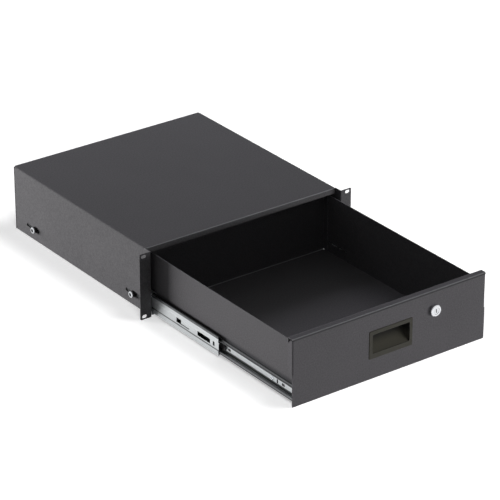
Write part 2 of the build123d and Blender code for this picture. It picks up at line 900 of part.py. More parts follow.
def build_handle():
    """Moulded pull: a frame on the panel's face, and a scoop for the fingers behind it."""
    frame_front = panel_front - handle_proud
    with BuildPart() as handle:
        with BuildSketch(Plane.XZ.offset(-panel_front)):
            with Locations((0, handle_rise)):
                RectangleRounded(handle_width, handle_height, handle_corner)
        extrude(amount=handle_proud)
        chamfer(handle.faces().group_by(Axis.Y)[0].edges(), length=handle_bevel)
        scoop(handle_wall, 0, grip_half + handle_wall, Mode.ADD)
        with BuildSketch(Plane.XZ.offset(-frame_front)):
            with Locations((0, grip_z)):
                RectangleRounded(grip_width, grip_height, grip_corner)
        extrude(amount=-handle_proud, mode=Mode.SUBTRACT)
        scoop(0, grip_lip, grip_half, Mode.SUBTRACT)
        # snap hooks behind the panel's sheet
        for hand in (-1, 1):
            with BuildSketch(Plane.XY.offset(grip_z - clip_length / 2)) as hook:
                with BuildLine():
                    root = hand * (grip_half + handle_wall)
                    Polyline(
                        (root, tray_front + clip_gap),
                        (root + hand * clip_reach, tray_front + clip_gap),
                        (root, tray_front + clip_gap + clip_depth),
                        close=True,
                    )
                make_face()
            extrude(hook.sketch, amount=clip_length)
    return handle


# Lock


def build_lock_housing():
    """Turned lock body: round face, and a threaded barrel with two flats."""
    with BuildPart() as housing:
        with BuildSketch(Plane.XZ.offset(-panel_front)):
            with Locations((lock_place, lock_z)):
                Circle(lock_face / 2)
        extrude(amount=lock_proud)
        chamfer(housing.faces().group_by(Axis.Y)[0].edges(), length=lock_bevel)
        with BuildSketch(Plane.XZ.offset(-panel_front)):
            with Locations((lock_place, lock_z)):
                Circle(lock_body / 2)
                Rectangle(lock_body, lock_flats, mode=Mode.INTERSECT)
        extrude(amount=-lock_back)
        with BuildSketch(Plane.XZ.offset(-panel_front)):
            with Locations((lock_place, lock_z)):
                Circle(plug_size / 2 + plug_gap)
        extrude(amount=lock_face, both=True, mode=Mode.SUBTRACT)
    return housing


def build_lock_plug():
    """Turning plug: keyway in its face, shoulder and square tail at its back."""
    face = panel_front - lock_proud + plug_inset
    shoulder = panel_front + lock_back + plug_shoulder
    with BuildPart() as plug:
        with BuildSketch(Plane.XZ.offset(-face)):
            with Locations((lock_place, lock_z)):
                Circle(plug_size / 2)
        extrude(amount=face - shoulder)
        with BuildSketch(Plane.XZ.offset(-shoulder)):
            with Locations((lock_place, lock_z)):
                Rectangle(cam_square, cam_square)
        extrude(amount=square_short - cam_sheet)
        with BuildSketch(Plane.XZ.offset(-face)):
            with Locations((lock_place, lock_z)):
                Rectangle(key_width, key_height)
        extrude(amount=-key_depth, mode=Mode.SUBTRACT)
        with BuildSketch(Plane.XZ.offset(-shoulder - cam_sheet)):
            with Locations((lock_place, lock_z)):
                Circle(cam_screw_size / 2 + thread_gap)
        extrude(amount=cam_screw_length + thread_gap, mode=Mode.SUBTRACT)
    return plug


def build_lock_washer():
    """Flat washer under the lock's nut."""
    with BuildPart() as washer:
        with BuildSketch(Plane.XZ.offset(-tray_front - tray_sheet)):
            with Locations((lock_place, lock_z)):
                Circle(lock_washer_size / 2)
                Circle(lock_body / 2 + lock_hole_gap, mode=Mode.SUBTRACT)
        extrude(amount=-lock_washer_height)
    return washer


def build_lock_nut():
    """Thin hexagon nut on the lock's barrel."""
    with BuildPart() as nut:
        with BuildSketch(Plane.XZ.offset(-tray_front - tray_sheet - lock_washer_height)):
            with Locations((lock_place, lock_z)):
                RegularPolygon(lock_nut_across / 2, hexagon_sides, major_radius=False)
                Circle(lock_body / 2 + thread_gap, mode=Mode.SUBTRACT)
        extrude(amount=-lock_nut_height)
    return nut


def build_lock_cam():
    """Flat cam on the plug's square tail, level when unlocked."""
    cam_front = panel_front + lock_back + plug_shoulder
    with BuildPart() as cam:
        with BuildSketch(Plane.XZ.offset(-cam_front)):
            with Locations((lock_place, lock_z)):
                Circle(cam_width / 2)
                Rectangle(cam_reach, cam_width, align=(Align.MIN, Align.CENTER))
                square = cam_square + 2 * cam_square_gap
                Rectangle(square, square, mode=Mode.SUBTRACT)
        extrude(amount=-cam_sheet)
        tip = cam.edges().filter_by(Axis.Y).group_by(Axis.X)[-1]
        fillet(tip, radius=cam_corner)
    return cam


def build_cam_screw():
    """Screw that holds the cam on the plug's tail."""
    head_face = panel_front + lock_back + plug_shoulder + cam_sheet
    with BuildPart() as screw:
        with BuildSketch(Plane.XZ.offset(-head_face)):
            with Locations((lock_place, lock_z)):
                Circle(cam_screw_head / 2)
        extrude(amount=-cam_screw_head_height)
        chamfer(screw.faces().group_by(Axis.Y)[-1].edges(), length=cam_screw_bevel)
        with BuildSketch(Plane.XZ.offset(-head_face)):
            with Locations((lock_place, lock_z)):
                Circle(cam_screw_size / 2)
        extrude(amount=cam_screw_length)
        with BuildSketch(Plane.XZ.offset(-head_face - cam_screw_head_height)):
            with Locations((lock_place, lock_z)):
                cross_drive()
        extrude(amount=drive_depth, mode=Mode.SUBTRACT)
    return screw


# All the pieces

os.makedirs("parts", exist_ok=True)

save(build_case_shell(), "case_shell")
save(build_rear_panel(), "rear_panel")
save(build_rear_panel_screws(), "rear_panel_screws")
save(build_drawer_tray(), "drawer_tray")
save(build_front_panel(), "front_panel")
save(build_panel_studs(), "panel_studs")
save(build_panel_nuts(), "panel_nuts")
save(build_handle(), "handle")
save(build_lock_housing(), "lock_housing")
save(build_lock_plug(), "lock_plug")
save(build_lock_washer(), "lock_washer")
save(build_lock_nut(), "lock_nut")
save(build_lock_cam(), "lock_cam")
save(build_cam_screw(), "cam_screw")
save(build_balls(outer_cage_front, outer_ball_v), "outer_balls")
save(build_balls(inner_cage_front, inner_ball_v), "inner_balls")
save(both_hands(build_closing_buffer()), "closing_buffers")

left_and_right = {
    "outer_rail": build_outer_rail(),
    "middle_rail": build_middle_rail(),
    "inner_rail": build_inner_rail(),
    "outer_cage": build_outer_cage(),
    "inner_cage": build_inner_cage(),
    "rail_bolts": build_rail_bolts(),
    "bolt_spacers": build_bolt_spacers(),
    "inner_rail_screws": build_inner_rail_screws(),
    "release_lever": build_release_lever(),
    "lever_rivet": build_lever_rivet(),
}
for name, piece in left_and_right.items():
    save(piece, f"{name}_left")
    save(other_hand(piece), f"{name}_right")
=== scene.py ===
import math

import bpy
from mathutils import Matrix, Vector


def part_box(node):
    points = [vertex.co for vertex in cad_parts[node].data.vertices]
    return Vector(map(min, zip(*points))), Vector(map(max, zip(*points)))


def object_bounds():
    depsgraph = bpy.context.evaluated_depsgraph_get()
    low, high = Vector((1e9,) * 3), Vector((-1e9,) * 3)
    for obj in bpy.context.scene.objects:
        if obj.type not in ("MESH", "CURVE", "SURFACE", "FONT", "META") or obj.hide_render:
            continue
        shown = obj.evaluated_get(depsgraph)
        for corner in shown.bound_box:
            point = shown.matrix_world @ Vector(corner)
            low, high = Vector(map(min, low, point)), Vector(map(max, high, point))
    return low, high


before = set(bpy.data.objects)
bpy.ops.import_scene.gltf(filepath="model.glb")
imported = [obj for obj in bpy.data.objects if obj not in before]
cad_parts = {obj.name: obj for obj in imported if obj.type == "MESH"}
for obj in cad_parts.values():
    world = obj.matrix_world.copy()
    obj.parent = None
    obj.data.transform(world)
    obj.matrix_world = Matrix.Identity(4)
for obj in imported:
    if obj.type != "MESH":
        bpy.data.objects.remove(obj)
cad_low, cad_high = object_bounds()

# Camera
# A long lens looks from the front left, high enough to see into the open drawer. Its place and its angle
# are fitted to the edges and corners that the photo shows.
camera_turn = math.radians(-36.41)
camera_rise = math.radians(26.29)
camera_distance = 5.2381
camera_aim = Vector((0, -0.0015, 0))
camera_right_shift = 0.00385
camera_up_shift = 0.00524
lens_mm = 204.17
sensor_mm = 36
farthest_view = 100

view_back = Vector((
    math.sin(camera_turn) * math.cos(camera_rise),
    -math.cos(camera_turn) * math.cos(camera_rise),
    math.sin(camera_rise),
))
view_right = Vector((math.cos(camera_turn), math.sin(camera_turn), 0))
view_up = view_back.cross(view_right)
camera_data = bpy.data.cameras.new("camera")
camera_data.lens = lens_mm
camera_data.sensor_width = sensor_mm
camera_data.clip_end = farthest_view
camera = bpy.data.objects.new("camera", camera_data)
camera.matrix_world = Matrix((view_right, view_up, view_back)).transposed().to_4x4()
camera.location = (
    camera_aim + view_right * camera_right_shift + view_up * camera_up_shift + view_back * camera_distance
)
bpy.context.scene.collection.objects.link(camera)
bpy.context.scene.camera = camera
bpy.context.scene.view_settings.view_transform = "Standard"

# Floor
# A wide sheet of white paper. The camera sees it as pure white from a short way off, with a soft shadow
# near the drawer, and dark under the case, which has no bottom. It throws only part of its light back at
# the drawer, whose sides get darker downwards.
floor_half = 8
floor_corners = ((-1, -1), (1, -1), (1, 1), (-1, 1))
floor_level = cad_low.z
paper_white = (0.86, 0.86, 0.86)
paper_thrown_back = (0.25, 0.25, 0.25)
near_lift = 0.415
near_reach = 0.7
far_lift = 1
far_reach = 2.0
case_shade_rim = 0.02


def wire(tree, start, end):
    """Joins two sockets."""
    tree.links.new(start, end)


def math_node(tree, operation, first, second=0.0):
    """A maths node on sockets or plain numbers. Some operations need only the first."""
    node = tree.nodes.new("ShaderNodeMath")
    node.operation = operation
    for place, value in enumerate((first, second)):
        if isinstance(value, (int, float)):
            node.inputs[place].default_value = value
        else:
            wire(tree, value, node.inputs[place])
    return node.outputs[0]


def mixed_colour(tree, mask, dark, light):
    """A colour between two, by a mask."""
    mix = tree.nodes.new("ShaderNodeMix")
    mix.data_type = "RGBA"
    mix.clamp_factor = True
    wire(tree, mask, mix.inputs["Factor"])
    for socket, value in ((mix.inputs["A"], dark), (mix.inputs["B"], light)):
        if isinstance(value, tuple):
            socket.default_value = (*value, 1)
        else:
            wire(tree, value, socket)
    return mix.outputs["Result"]


def object_place(tree):
    """The position on the object, in metres."""
    return tree.nodes.new("ShaderNodeTexCoord").outputs["Object"]


def split_parts(tree, vector):
    """The X, Y and Z of a position or a direction."""
    parts = tree.nodes.new("ShaderNodeSeparateXYZ")
    wire(tree, vector, parts.inputs[0])
    return parts.outputs


def soft_change(tree, value, start, end, at_start, at_end):
    """A level that changes softly while a value goes from start to end."""
    node = tree.nodes.new("ShaderNodeMapRange")
    node.interpolation_type = "SMOOTHSTEP"
    node.inputs["From Min"].default_value = start
    node.inputs["From Max"].default_value = end
    node.inputs["To Min"].default_value = at_start
    node.inputs["To Max"].default_value = at_end
    wire(tree, value, node.inputs["Value"])
    return node.outputs["Result"]


floor = bpy.data.objects.new("floor", bpy.data.meshes.new("floor"))
floor.data.from_pydata(
    [(x * floor_half, y * floor_half, floor_level) for x, y in floor_corners], [], [(0, 1, 2, 3)]
)
bpy.context.scene.collection.objects.link(floor)

paper = bpy.data.materials.new("white_paper")
paper.use_nodes = True
paper_tree = paper.node_tree
paper_shade = paper_tree.nodes["Principled BSDF"]
paper_shade.inputs["Roughness"].default_value = 1
paper_shade.inputs["Specular IOR Level"].default_value = 0
paper_ray = paper_tree.nodes.new("ShaderNodeLightPath").outputs
paper_colour = mixed_colour(paper_tree, paper_ray["Is Diffuse Ray"], paper_white, paper_thrown_back)
wire(paper_tree, paper_colour, paper_shade.inputs["Base Color"])

paper_away = paper_tree.nodes.new("ShaderNodeVectorMath")
paper_away.operation = "LENGTH"
wire(paper_tree, object_place(paper_tree), paper_away.inputs[0])
paper_lift = soft_change(paper_tree, paper_away.outputs["Value"], near_reach, far_reach, near_lift, far_lift)

rail_low, rail_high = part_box("outer_rail_right")
paper_place = split_parts(paper_tree, object_place(paper_tree))
paper_across = math_node(paper_tree, "ABSOLUTE", paper_place["X"])
from_side = math_node(paper_tree, "SUBTRACT", rail_high.x, paper_across)
from_mouth = math_node(paper_tree, "SUBTRACT", paper_place["Y"], rail_low.y)
from_back = math_node(paper_tree, "SUBTRACT", rail_high.y, paper_place["Y"])
from_ends = math_node(paper_tree, "MINIMUM", from_mouth, from_back)
under_case = math_node(paper_tree, "MINIMUM", from_side, from_ends)
paper_open = soft_change(paper_tree, under_case, 0, case_shade_rim, 1, 0)

paper_seen = math_node(paper_tree, "MAXIMUM", paper_ray["Is Camera Ray"], paper_ray["Is Glossy Ray"])
paper_strength = math_node(paper_tree, "MULTIPLY", paper_lift, paper_open)
strength_seen = math_node(paper_tree, "MULTIPLY", paper_seen, paper_strength)
paper_glow = paper_tree.nodes.new("ShaderNodeEmission")
paper_sum = paper_tree.nodes.new("ShaderNodeAddShader")
wire(paper_tree, strength_seen, paper_glow.inputs["Strength"])
wire(paper_tree, paper_shade.outputs[0], paper_sum.inputs[0])
wire(paper_tree, paper_glow.outputs[0], paper_sum.inputs[1])
wire(paper_tree, paper_sum.outputs[0], paper_tree.nodes["Material Output"].inputs["Surface"])
floor.data.materials.append(paper)

# Lamps
# Two long strips stand on the floor, so that little of their light falls into the tray, and a soft box
# hangs high behind. These three light the drawer alone. Three more light the paper alone: one overhead
# casts the shadow, and two small ones on the left thin it out.


def floor_link(name, state):
    """A list for a lamp, which takes the floor in or leaves it out."""
    listed = bpy.data.collections.new(name)
    listed.objects.link(floor)
    listed.collection_objects[0].light_linking.link_state = state
    return listed


drawer_only = floor_link("all_but_the_floor", "EXCLUDE")
floor_only = floor_link("the_floor_alone", "INCLUDE")


def soft_box(name, place, aim, width, height, power, lights, colour=(1, 1, 1)):
    """A flat studio lamp that faces a point. Its width and height are in metres, its power in watts."""
    data = bpy.data.lights.new(name, "AREA")
    data.shape = "RECTANGLE"
    data.size = width
    data.size_y = height
    data.energy = power
    data.color = colour
    lamp = bpy.data.objects.new(name, data)
    lamp.location = place
    lamp.rotation_euler = (Vector(aim) - Vector(place)).to_track_quat("-Z", "Y").to_euler()
    lamp.visible_glossy = False
    lamp.light_linking.receiver_collection = lights
    bpy.context.scene.collection.objects.link(lamp)


soft_box(
    "left_strip", place=(-1.8, 3.45, 0.05), aim=(0, 0, 0), width=3.2, height=0.22, power=426,
    lights=drawer_only,
)
soft_box(
    "front_strip", place=(1.9, -3.1, 0.05), aim=(0, -0.3, 0), width=2.4, height=0.22, power=85,
    lights=drawer_only,
)
soft_box(
    "back_box", place=(0.9, 3.1, 2.2), aim=(0, 0, 0), width=2.4, height=1.4, power=106,
    lights=drawer_only, colour=(0.92, 0.92, 1),
)
soft_box(
    "paper_box", place=(1.1, -0.8, 2.9), aim=(0.1, -0.3, 0), width=1.8, height=1.2, power=78,
    lights=floor_only,
)
soft_box(
    "back_corner_box", place=(-0.9, 0.95, 1.2), aim=(-0.3, 0.45, 0), width=0.4, height=0.4, power=6,
    lights=floor_only,
)
soft_box(
    "front_corner_box", place=(-0.7, -1.15, 1.1), aim=(-0.25, -0.4, 0), width=0.4, height=0.4, power=8,
    lights=floor_only,
)

# Sky
# The white walls of the studio, far away. The camera and the polished steel see them as pure white, and
# they light the drawer only faintly.
sky_light_colour = (0.9, 0.93, 1, 1)
sky_light_strength = 0.04
sky_seen_colour = (1, 1, 1, 1)
sky_seen_strength = 1

world = bpy.data.worlds.new("studio")
bpy.context.scene.world = world
world.use_nodes = True
sky = world.node_tree
sky.nodes.clear()
sky_out = sky.nodes.new("ShaderNodeOutputWorld")
sky_light = sky.nodes.new("ShaderNodeBackground")
sky_light.inputs["Color"].default_value = sky_light_colour
sky_light.inputs["Strength"].default_value = sky_light_strength
sky_seen = sky.nodes.new("ShaderNodeBackground")
sky_seen.inputs["Color"].default_value = sky_seen_colour
sky_seen.inputs["Strength"].default_value = sky_seen_strength
sky_mix = sky.nodes.new("ShaderNodeMixShader")
sky_ray = sky.nodes.new("ShaderNodeLightPath").outputs
sky_is_seen = math_node(sky, "MAXIMUM", sky_ray["Is Camera Ray"], sky_ray["Is Glossy Ray"])
wire(sky, sky_is_seen, sky_mix.inputs["Fac"])
wire(sky, sky_light.outputs[0], sky_mix.inputs[1])
wire(sky, sky_seen.outputs[0], sky_mix.inputs[2])
wire(sky, sky_mix.outputs[0], sky_out.inputs["Surface"])

# Case shell
# The case is folded from one sheet of 1.5 mm steel: top, two sides, the rack ears and the flanges.
# It is powder coated in a charcoal finish with a fine grain, which breaks up the light. A painted
# highlight runs along the fold of the top's front lip.


def node_group(name, inputs, outputs):
    """A new shader group, with its named sockets. Returns the group and its two end nodes."""
    group = bpy.data.node_groups.new(name, "ShaderNodeTree")
    for socket, kind, value in inputs:
        made = group.interface.new_socket(socket, in_out="INPUT", socket_type=kind)
        made.default_value = value
    for socket, kind in outputs:
        group.interface.new_socket(socket, in_out="OUTPUT", socket_type=kind)
    return group, group.nodes.new("NodeGroupInput"), group.nodes.new("NodeGroupOutput")


def noise_node(tree, vector, scale, detail):
    """Plain noise over a position."""
    node = tree.nodes.new("ShaderNodeTexNoise")
    node.inputs["Detail"].default_value = detail
    wire(tree, vector, node.inputs["Vector"])
    if isinstance(scale, (int, float)):
        node.inputs["Scale"].default_value = scale
    else:
        wire(tree, scale, node.inputs["Scale"])
    return node.outputs["Fac"]


def clamped(tree, value):
    """A value held between 0 and 1."""
    node = tree.nodes.new("ShaderNodeClamp")
    wire(tree, value, node.inputs["Value"])
    return node.outputs[0]


def length_of(tree, first, second):
    """The length of an offset from its two parts."""
    first_square = math_node(tree, "MULTIPLY", first, first)
    second_square = math_node(tree, "MULTIPLY", second, second)
    return math_node(tree, "SQRT", math_node(tree, "ADD", first_square, second_square))


def make_edge_marking():
    """Marks the edges and inner folds of a piece, broken up by noise: 0 on the faces and 1 on an edge."""
    bevel_samples = 4
    patch_scale = 260.0
    patch_detail = 3.0
    group, enter, leave = node_group(
        "edge marking",
        [("Radius", "NodeSocketFloat", 0.0006), ("Amount", "NodeSocketFloat", 1.0)],
        [("Mask", "NodeSocketFloat"), ("Normal", "NodeSocketVector")],
    )
    rounded = group.nodes.new("ShaderNodeBevel")
    rounded.samples = bevel_samples
    wire(group, enter.outputs["Radius"], rounded.inputs["Radius"])
    true_normal = group.nodes.new("ShaderNodeNewGeometry").outputs["Normal"]
    meet = group.nodes.new("ShaderNodeVectorMath")
    meet.operation = "DOT_PRODUCT"
    wire(group, rounded.outputs["Normal"], meet.inputs[0])
    wire(group, true_normal, meet.inputs[1])
    turned = math_node(group, "SUBTRACT", 1.0, meet.outputs["Value"])
    patches = noise_node(group, object_place(group), patch_scale, patch_detail)
    broken = math_node(group, "MULTIPLY", turned, patches)
    mask = math_node(group, "MULTIPLY", broken, enter.outputs["Amount"])
    wire(group, mask, leave.inputs["Mask"])
    wire(group, rounded.outputs["Normal"], leave.inputs["Normal"])
    return group


def make_powder_grain():
    """Orange-peel grain of a powder coat: the height of the grain, and a faint mottling of its colour."""
    fine_detail = 2.0
    coarse_share = 0.35
    coarse_detail = 1.0
    cloud_detail = 3.0
    cloud_weight = 0.3
    speck_share = 0.42
    speck_detail = 0.0
    speck_weight = 0.7
    group, enter, leave = node_group(
        "powder grain",
        [("Grain Scale", "NodeSocketFloat", 900.0), ("Mottle Scale", "NodeSocketFloat", 9.0)],
        [("Height", "NodeSocketFloat"), ("Mottle", "NodeSocketFloat")],
    )
    place = object_place(group)
    grain_scale = enter.outputs["Grain Scale"]
    coarse_scale = math_node(group, "MULTIPLY", grain_scale, coarse_share)
    speck_scale = math_node(group, "MULTIPLY", grain_scale, speck_share)
    fine = noise_node(group, place, grain_scale, fine_detail)
    coarse = noise_node(group, place, coarse_scale, coarse_detail)
    wire(group, math_node(group, "ADD", fine, coarse), leave.inputs["Height"])
    cloud = noise_node(group, place, enter.outputs["Mottle Scale"], cloud_detail)
    specks = noise_node(group, place, speck_scale, speck_detail)
    cloud_part = math_node(group, "MULTIPLY", cloud, cloud_weight)
    speck_part = math_node(group, "MULTIPLY", specks, speck_weight)
    wire(group, math_node(group, "ADD", cloud_part, speck_part), leave.inputs["Mottle"])
    return group


def make_fold_shine():
    """Marks a thin line along a fold that runs across the drawer, for a painted highlight."""
    group, enter, leave = node_group(
        "fold shine",
        [("Line Depth", "NodeSocketFloat", 0.0), ("Line Level", "NodeSocketFloat", 0.0),
         ("Reach", "NodeSocketFloat", 0.001)],
        [("Mask", "NodeSocketFloat")],
    )
    place = split_parts(group, object_place(group))
    back = math_node(group, "SUBTRACT", place["Y"], enter.outputs["Line Depth"])
    up = math_node(group, "SUBTRACT", place["Z"], enter.outputs["Line Level"])
    faded = math_node(group, "DIVIDE", length_of(group, back, up), enter.outputs["Reach"])
    wire(group, clamped(group, math_node(group, "SUBTRACT", 1.0, faded)), leave.inputs["Mask"])
    return group


edge_marking = make_edge_marking()
powder_grain = make_powder_grain()
fold_shine = make_fold_shine()


def placed_group(tree, group, **values):
    """A group placed in a material, with its inputs set by name."""
    node = tree.nodes.new("ShaderNodeGroup")
    node.node_tree = group
    for name, value in values.items():
        node.inputs[name.replace("_", " ").title()].default_value = value
    return node


def new_material(name):
    """A material with its node tree and its main shader."""
    material = bpy.data.materials.new(name)
    material.use_nodes = True
    return material, material.node_tree, material.node_tree.nodes["Principled BSDF"]


def bump(tree, height, strength, distance, normal):
    """Turns a height into a normal, on top of the present one."""
    node = tree.nodes.new("ShaderNodeBump")
    node.inputs["Strength"].default_value = strength
    node.inputs["Distance"].default_value = distance
    wire(tree, height, node.inputs["Height"])
    wire(tree, normal, node.inputs["Normal"])
    return node.outputs["Normal"]


def value_range(tree, value, low, high):
    """Stretches a 0 to 1 value to a range."""
    node = tree.nodes.new("ShaderNodeMapRange")
    node.inputs["To Min"].default_value = low
    node.inputs["To Max"].default_value = high
    wire(tree, value, node.inputs["Value"])
    return node.outputs["Result"]


def powder_coat(name, dark, light, edge_colour, edge_radius=0.0005, edge_amount=0.9):
    """Powder-coated steel: fine grain, faint mottling, and a lighter colour on edges and folds: worn coat on
    the case and the panel, mostly a painted highlight on the tray.
    """
    roughness_low = 0.58
    roughness_high = 0.76
    grain_strength = 0.55
    grain_depth = 0.00006
    specular_level = 0.2
    material, tree, shade = new_material(name)
    grain = placed_group(tree, powder_grain)
    edge_mark = placed_group(tree, edge_marking, radius=edge_radius, amount=edge_amount)
    coat = mixed_colour(tree, grain.outputs["Mottle"], dark, light)
    colour = mixed_colour(tree, edge_mark.outputs["Mask"], coat, edge_colour)
    roughness = value_range(tree, grain.outputs["Mottle"], roughness_low, roughness_high)
    normal = bump(tree, grain.outputs["Height"], grain_strength, grain_depth, edge_mark.outputs["Normal"])
    wire(tree, colour, shade.inputs["Base Color"])
    wire(tree, roughness, shade.inputs["Roughness"])
    wire(tree, normal, shade.inputs["Normal"])
    shade.inputs["Specular IOR Level"].default_value = specular_level
    return material


def paint_over(material, mask, colour):
    """Lays a colour over the present one, where the mask is 1."""
    tree = material.node_tree
    target = tree.nodes["Principled BSDF"].inputs["Base Color"]
    present = target.links[0].from_socket
    wire(tree, mixed_colour(tree, mask, present, colour), target)


def paint_fold_highlight(material, depth, level, reach, light):
    """Lays a painted highlight on one fold of a coated piece, at a depth and a height."""
    line = placed_group(material.node_tree, fold_shine, line_depth=depth, line_level=level, reach=reach)
    paint_over(material, line.outputs["Mask"], light)


sharp_corner = math.radians(32)


def dress(node, material):
    """Gives a CAD node its material, and shades its rounded faces smoothly."""
    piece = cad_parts[node]
    piece.data.materials.clear()
    piece.data.materials.append(material)
    piece.data.shade_smooth()
    piece.data.set_sharp_from_angle(angle=sharp_corner)


case_coat = powder_coat(
    "charcoal_powder_coat", dark=(0.044, 0.043, 0.046), light=(0.120, 0.117, 0.121), edge_colour=(0.17, 0.17, 0.18)
)
case_low, case_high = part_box("case_shell")
lip_fold_setback = 0.0165
lip_fold_drop = 0.0002
# A painted highlight along the fold of the top's front lip.
paint_fold_highlight(
    case_coat, case_low.y + lip_fold_setback, case_high.z - lip_fold_drop, reach=0.0017,
    light=(0.34, 0.34, 0.35),
)
dress("case_shell", case_coat)

# Rear panel
# A flat plate in the same coat, set under the overhang of the top. Four black cross-head screws hold it
# to the flanges behind.
dress("rear_panel", case_coat)


def plain_metal(
    name, dark, light, roughness_low, roughness_high, scale=(300.0, 300.0, 300.0), depth=0.00001
):
    """Bare or plated metal: fine streaks, uneven polish and slightly brighter edges."""
    streak_scale = 1.0
    streak_detail = 3.0
    streak_strength = 0.4
    edge_radius = 0.0003
    edge_amount = 1.2
    material, tree, shade = new_material(name)
    stretch = tree.nodes.new("ShaderNodeMapping")
    stretch.inputs["Scale"].default_value = scale
    wire(tree, object_place(tree), stretch.inputs["Vector"])
    streaks = noise_node(tree, stretch.outputs["Vector"], streak_scale, streak_detail)
    edge_mark = placed_group(tree, edge_marking, radius=edge_radius, amount=edge_amount)
    plate = mixed_colour(tree, streaks, dark, light)
    normal = bump(tree, streaks, streak_strength, depth, edge_mark.outputs["Normal"])
    wire(tree, mixed_colour(tree, edge_mark.outputs["Mask"], plate, light), shade.inputs["Base Color"])
    wire(tree, value_range(tree, streaks, roughness_low, roughness_high), shade.inputs["Roughness"])
    wire(tree, normal, shade.inputs["Normal"])
    shade.inputs["Metallic"].default_value = 1
    return material


black_oxide = plain_metal(
    "black_oxide", dark=(0.03, 0.03, 0.032), light=(0.06, 0.06, 0.062), roughness_low=0.35,
    roughness_high=0.5,
)
dress("rear_panel_screws", black_oxide)

# Slide rails
# Cold-rolled steel strip, roll-formed into the three rails of each slide and zinc plated. The rolling
# leaves fine lines along the rails. Painted shade and reflection darken the races, lips and folds, and
# painted shade lies on the sheared edges round the holes and at the rails' ends.
slide_low, slide_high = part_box("outer_rail_left")
slide_middle = (slide_low.z + slide_high.z) / 2
painted_shade_black = (0.03, 0.031, 0.033)


def make_painted_dark_line():
    """Marks a painted dark line of shade and reflection, at a height above or below the slide's middle."""
    patch_scale = 90.0
    patch_detail = 3.0
    thinnest = 0.85
    group, enter, leave = node_group(
        "painted dark line",
        [("Level", "NodeSocketFloat", 0.0), ("Half Width", "NodeSocketFloat", 0.001),
         ("Soft Edge", "NodeSocketFloat", 0.001), ("Strength", "NodeSocketFloat", 1.0)],
        [("Mask", "NodeSocketFloat")],
    )
    place = object_place(group)
    height = math_node(group, "SUBTRACT", split_parts(group, place)["Z"], slide_middle)
    offset = math_node(group, "SUBTRACT", height, enter.outputs["Level"])
    away = math_node(group, "ABSOLUTE", offset)
    beyond = math_node(group, "SUBTRACT", away, enter.outputs["Half Width"])
    faded = math_node(group, "DIVIDE", beyond, enter.outputs["Soft Edge"])
    full = clamped(group, math_node(group, "SUBTRACT", 1.0, faded))
    patches = noise_node(group, place, patch_scale, patch_detail)
    spread = math_node(group, "MULTIPLY", full, value_range(group, patches, thinnest, 1.0))
    wire(group, math_node(group, "MULTIPLY", spread, enter.outputs["Strength"]), leave.inputs["Mask"])
    return group


def make_cut_edge():
    """Marks the sheared edges of the strip, round its holes and at its ends, for painted shade."""
    edge_on = 0.5
    group, enter, leave = node_group(
        "cut edge", [("Half Height", "NodeSocketFloat", 0.006)], [("Mask", "NodeSocketFloat")]
    )
    facing = split_parts(group, group.nodes.new("ShaderNodeTexCoord").outputs["Normal"])
    offset = math_node(group, "SUBTRACT", split_parts(group, object_place(group))["Z"], slide_middle)
    height = math_node(group, "ABSOLUTE", offset)
    in_web = math_node(group, "LESS_THAN", height, enter.outputs["Half Height"])
    across_web = math_node(group, "ABSOLUTE", facing["X"])
    is_edge = math_node(group, "LESS_THAN", across_web, edge_on)
    wire(group, math_node(group, "MULTIPLY", in_web, is_edge), leave.inputs["Mask"])
    return group


painted_dark_line = make_painted_dark_line()
cut_edge = make_cut_edge()


def paint_dark_line(material, level, half_width, soft_edge, strength):
    """Draws one painted dark line of shade and reflection on a material."""
    line = placed_group(
        material.node_tree, painted_dark_line, level=level, half_width=half_width, soft_edge=soft_edge,
        strength=strength,
    )
    paint_over(material, line.outputs["Mask"], painted_shade_black)


def zinc_rail(name, web_half, lines):
    """Bright zinc plate with rolling lines along it, and painted dark lines of shade and reflection. Each
    line is its level over the slide's middle, half its width, its soft edge and its strength."""
    material = plain_metal(
        name, dark=(0.58, 0.60, 0.61), light=(0.68, 0.70, 0.71), roughness_low=0.26, roughness_high=0.38,
        scale=(420.0, 6.0, 420.0), depth=0.0000015,
    )
    # Painted shade on the sheared edges round the holes and at the ends.
    cut = placed_group(material.node_tree, cut_edge, half_height=web_half)
    paint_over(material, cut.outputs["Mask"], painted_shade_black)
    for level, half_width, soft_edge, strength in lines:
        paint_dark_line(material, level, half_width, soft_edge, strength)
    return material


# Painted shade runs along the outer rail's middle, where it shows through the slots in the case. The other
# lines on all three rails are painted shade and reflection at their steps, races and lips.
outer_zinc = zinc_rail("outer_rail_zinc", web_half=0.015, lines=[
    (0, 0.0024, 0.0008, 1),
    (-0.0175, 0.0008, 0.0006, 1),
    (0.0175, 0.0008, 0.0006, 1),
])
middle_zinc = zinc_rail("middle_rail_zinc", web_half=0.006, lines=[
    (-0.0074, 0.0015, 0.0003, 0.95),
    (0.0186, 0.0031, 0.0003, 0.92),
    (0.0150, 0.0003, 0.0002, 0.9),
])
inner_zinc = zinc_rail("inner_rail_zinc", web_half=0.008, lines=[
    (-0.0072, 0.0022, 0.0012, 0.88),
    (-0.0108, 0.0010, 0.0003, 0.78),
    (-0.0121, 0.0005, 0.0002, 1),
    (0.0115, 0.0013, 0.0003, 0.85),
])
for side in ("left", "right"):
    dress(f"outer_rail_{side}", outer_zinc)
    dress(f"middle_rail_{side}", middle_zinc)
    dress(f"inner_rail_{side}", inner_zinc)

